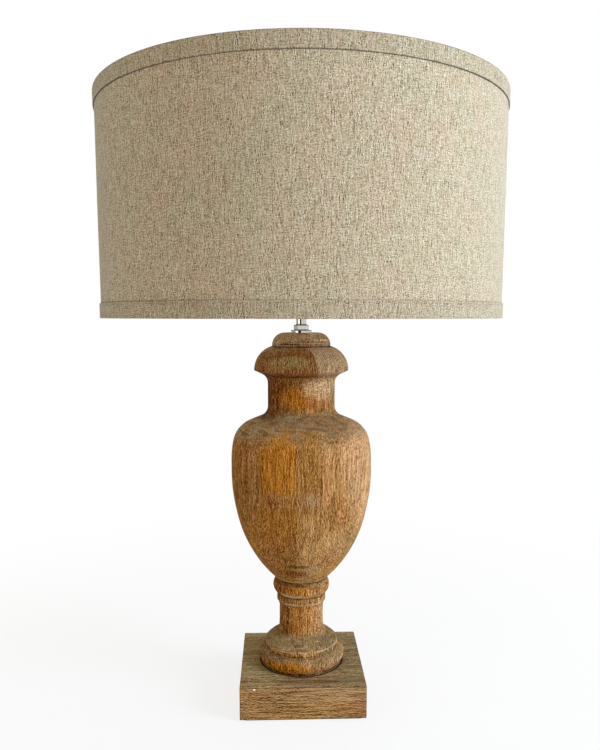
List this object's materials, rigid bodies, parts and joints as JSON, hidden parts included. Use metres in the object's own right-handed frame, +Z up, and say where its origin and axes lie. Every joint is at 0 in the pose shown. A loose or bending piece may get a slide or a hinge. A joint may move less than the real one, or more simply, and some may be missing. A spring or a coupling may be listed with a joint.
{
  "type": "table lamp",
  "caption": "Column table lamp: turned wooden urn on a square plinth, metal harp and screw lamp holder, wide linen drum shade with folded bindings.",
  "frame": {"origin": "on the surface that the lamp stands on, under the middle of the plinth and on the column's axis", "axes": "+Z up along the column, -Y the front, +Y the back where the cord inlet is, +X to the right seen from the front"},
  "size_m": [0.4561, 0.4562, 0.6898],
  "materials": {
    "wood": "limewashed turned wood, waxed",
    "felt": "dark green felt",
    "black_plastic": "moulded black",
    "zinc": "zinc-plated steel",
    "nickel": "satin nickel plate",
    "liner_paper": "vulcanised fibre",
    "phenolic": "moulded phenolic",
    "brass": "plain brass",
    "solder": "tinned",
    "black_glass": "dark vitrite",
    "bulb_metal": "bright aluminium",
    "opal_glass": "white coated glass",
    "white_lining": "white styrene lining",
    "linen": "natural linen, slubbed plain weave",
    "linen_binding": "natural linen, folded binding"
  },
  "bodies": {
    "root": {"felt_pad": "felt", "plinth": "wood", "cord_bushing": "black_plastic", "pedestal": "wood", "urn": "wood", "top_cap": "wood", "threaded_tube": "zinc", "bottom_washer": "zinc", "bottom_lock_washer": "zinc", "bottom_nut": "zinc", "check_ring": "nickel", "top_nut": "nickel", "neck_tube": "nickel", "harp_saddle": "nickel", "harp_frame": "nickel", "socket_cap": "nickel", "socket_set_screw": "zinc", "socket_shell": "nickel", "socket_insulator": "liner_paper", "socket_body": "phenolic", "terminal_screws": "brass", "screw_shell": "brass", "centre_contact": "brass"},
    "sleeve_left": {"harp_sleeve_left": "nickel"},
    "sleeve_right": {"harp_sleeve_right": "nickel"},
    "switch": {"switch_spindle": "brass", "switch_knob": "black_plastic"},
    "bulb_lift": {"bulb_cap": "bulb_metal"},
    "bulb": {"bulb_glass": "opal_glass", "bulb_contact": "solder", "bulb_insulator": "black_glass"},
    "swivel": {"harp_stud": "nickel"},
    "shade": {"spider_hub": "nickel", "spider_arms": "nickel", "top_ring": "nickel", "bottom_ring": "nickel", "shade_backing": "white_lining", "shade_fabric": "linen", "top_trim": "linen_binding", "bottom_trim": "linen_binding"},
    "finial_lift": {"finial_insert": "brass"},
    "finial": {"finial_knob": "nickel"}
  },
  "joints": [
    {"name": "sleeve_left_slide", "type": "slide", "parent": "root", "child": "sleeve_left", "axis": [0, 0, 1], "range_m": [0, 0.01]},
    {"name": "sleeve_right_slide", "type": "slide", "parent": "root", "child": "sleeve_right", "axis": [0, 0, 1], "range_m": [0, 0.01]},
    {"name": "switch_turn", "type": "hinge", "parent": "root", "child": "switch", "pos_m": [0, -0.0192, 0.4927], "axis": [0, -1, 0], "continuous": true},
    {"name": "bulb_rise", "type": "slide", "parent": "root", "child": "bulb_lift", "axis": [0, 0, 1], "range_m": [0, 0.01635]},
    {"name": "bulb_turn", "type": "hinge", "parent": "bulb_lift", "child": "bulb", "pos_m": [0, 0, 0.55], "axis": [0, 0, 1], "range_deg": [0, 1620]},
    {"name": "shade_turn", "type": "hinge", "parent": "root", "child": "swivel", "pos_m": [0, 0, 0.665], "axis": [0, 0, 1], "continuous": true},
    {"name": "shade_lift", "type": "slide", "parent": "swivel", "child": "shade", "axis": [0, 0, 1], "range_m": [0, 0.245]},
    {"name": "finial_rise", "type": "slide", "parent": "shade", "child": "finial_lift", "axis": [0, 0, 1], "range_m": [0, 0.00895]},
    {"name": "finial_turn", "type": "hinge", "parent": "finial_lift", "child": "finial", "pos_m": [0, 0, 0.675], "axis": [0, 0, 1], "range_deg": [0, 3420]}
  ],
  "couplings": [
    {"joint": "bulb_rise", "follows": "bulb_turn", "m_per_rad": 0.00057773},
    {"joint": "finial_rise", "follows": "finial_turn", "m_per_rad": 0.00014961}
  ]
}
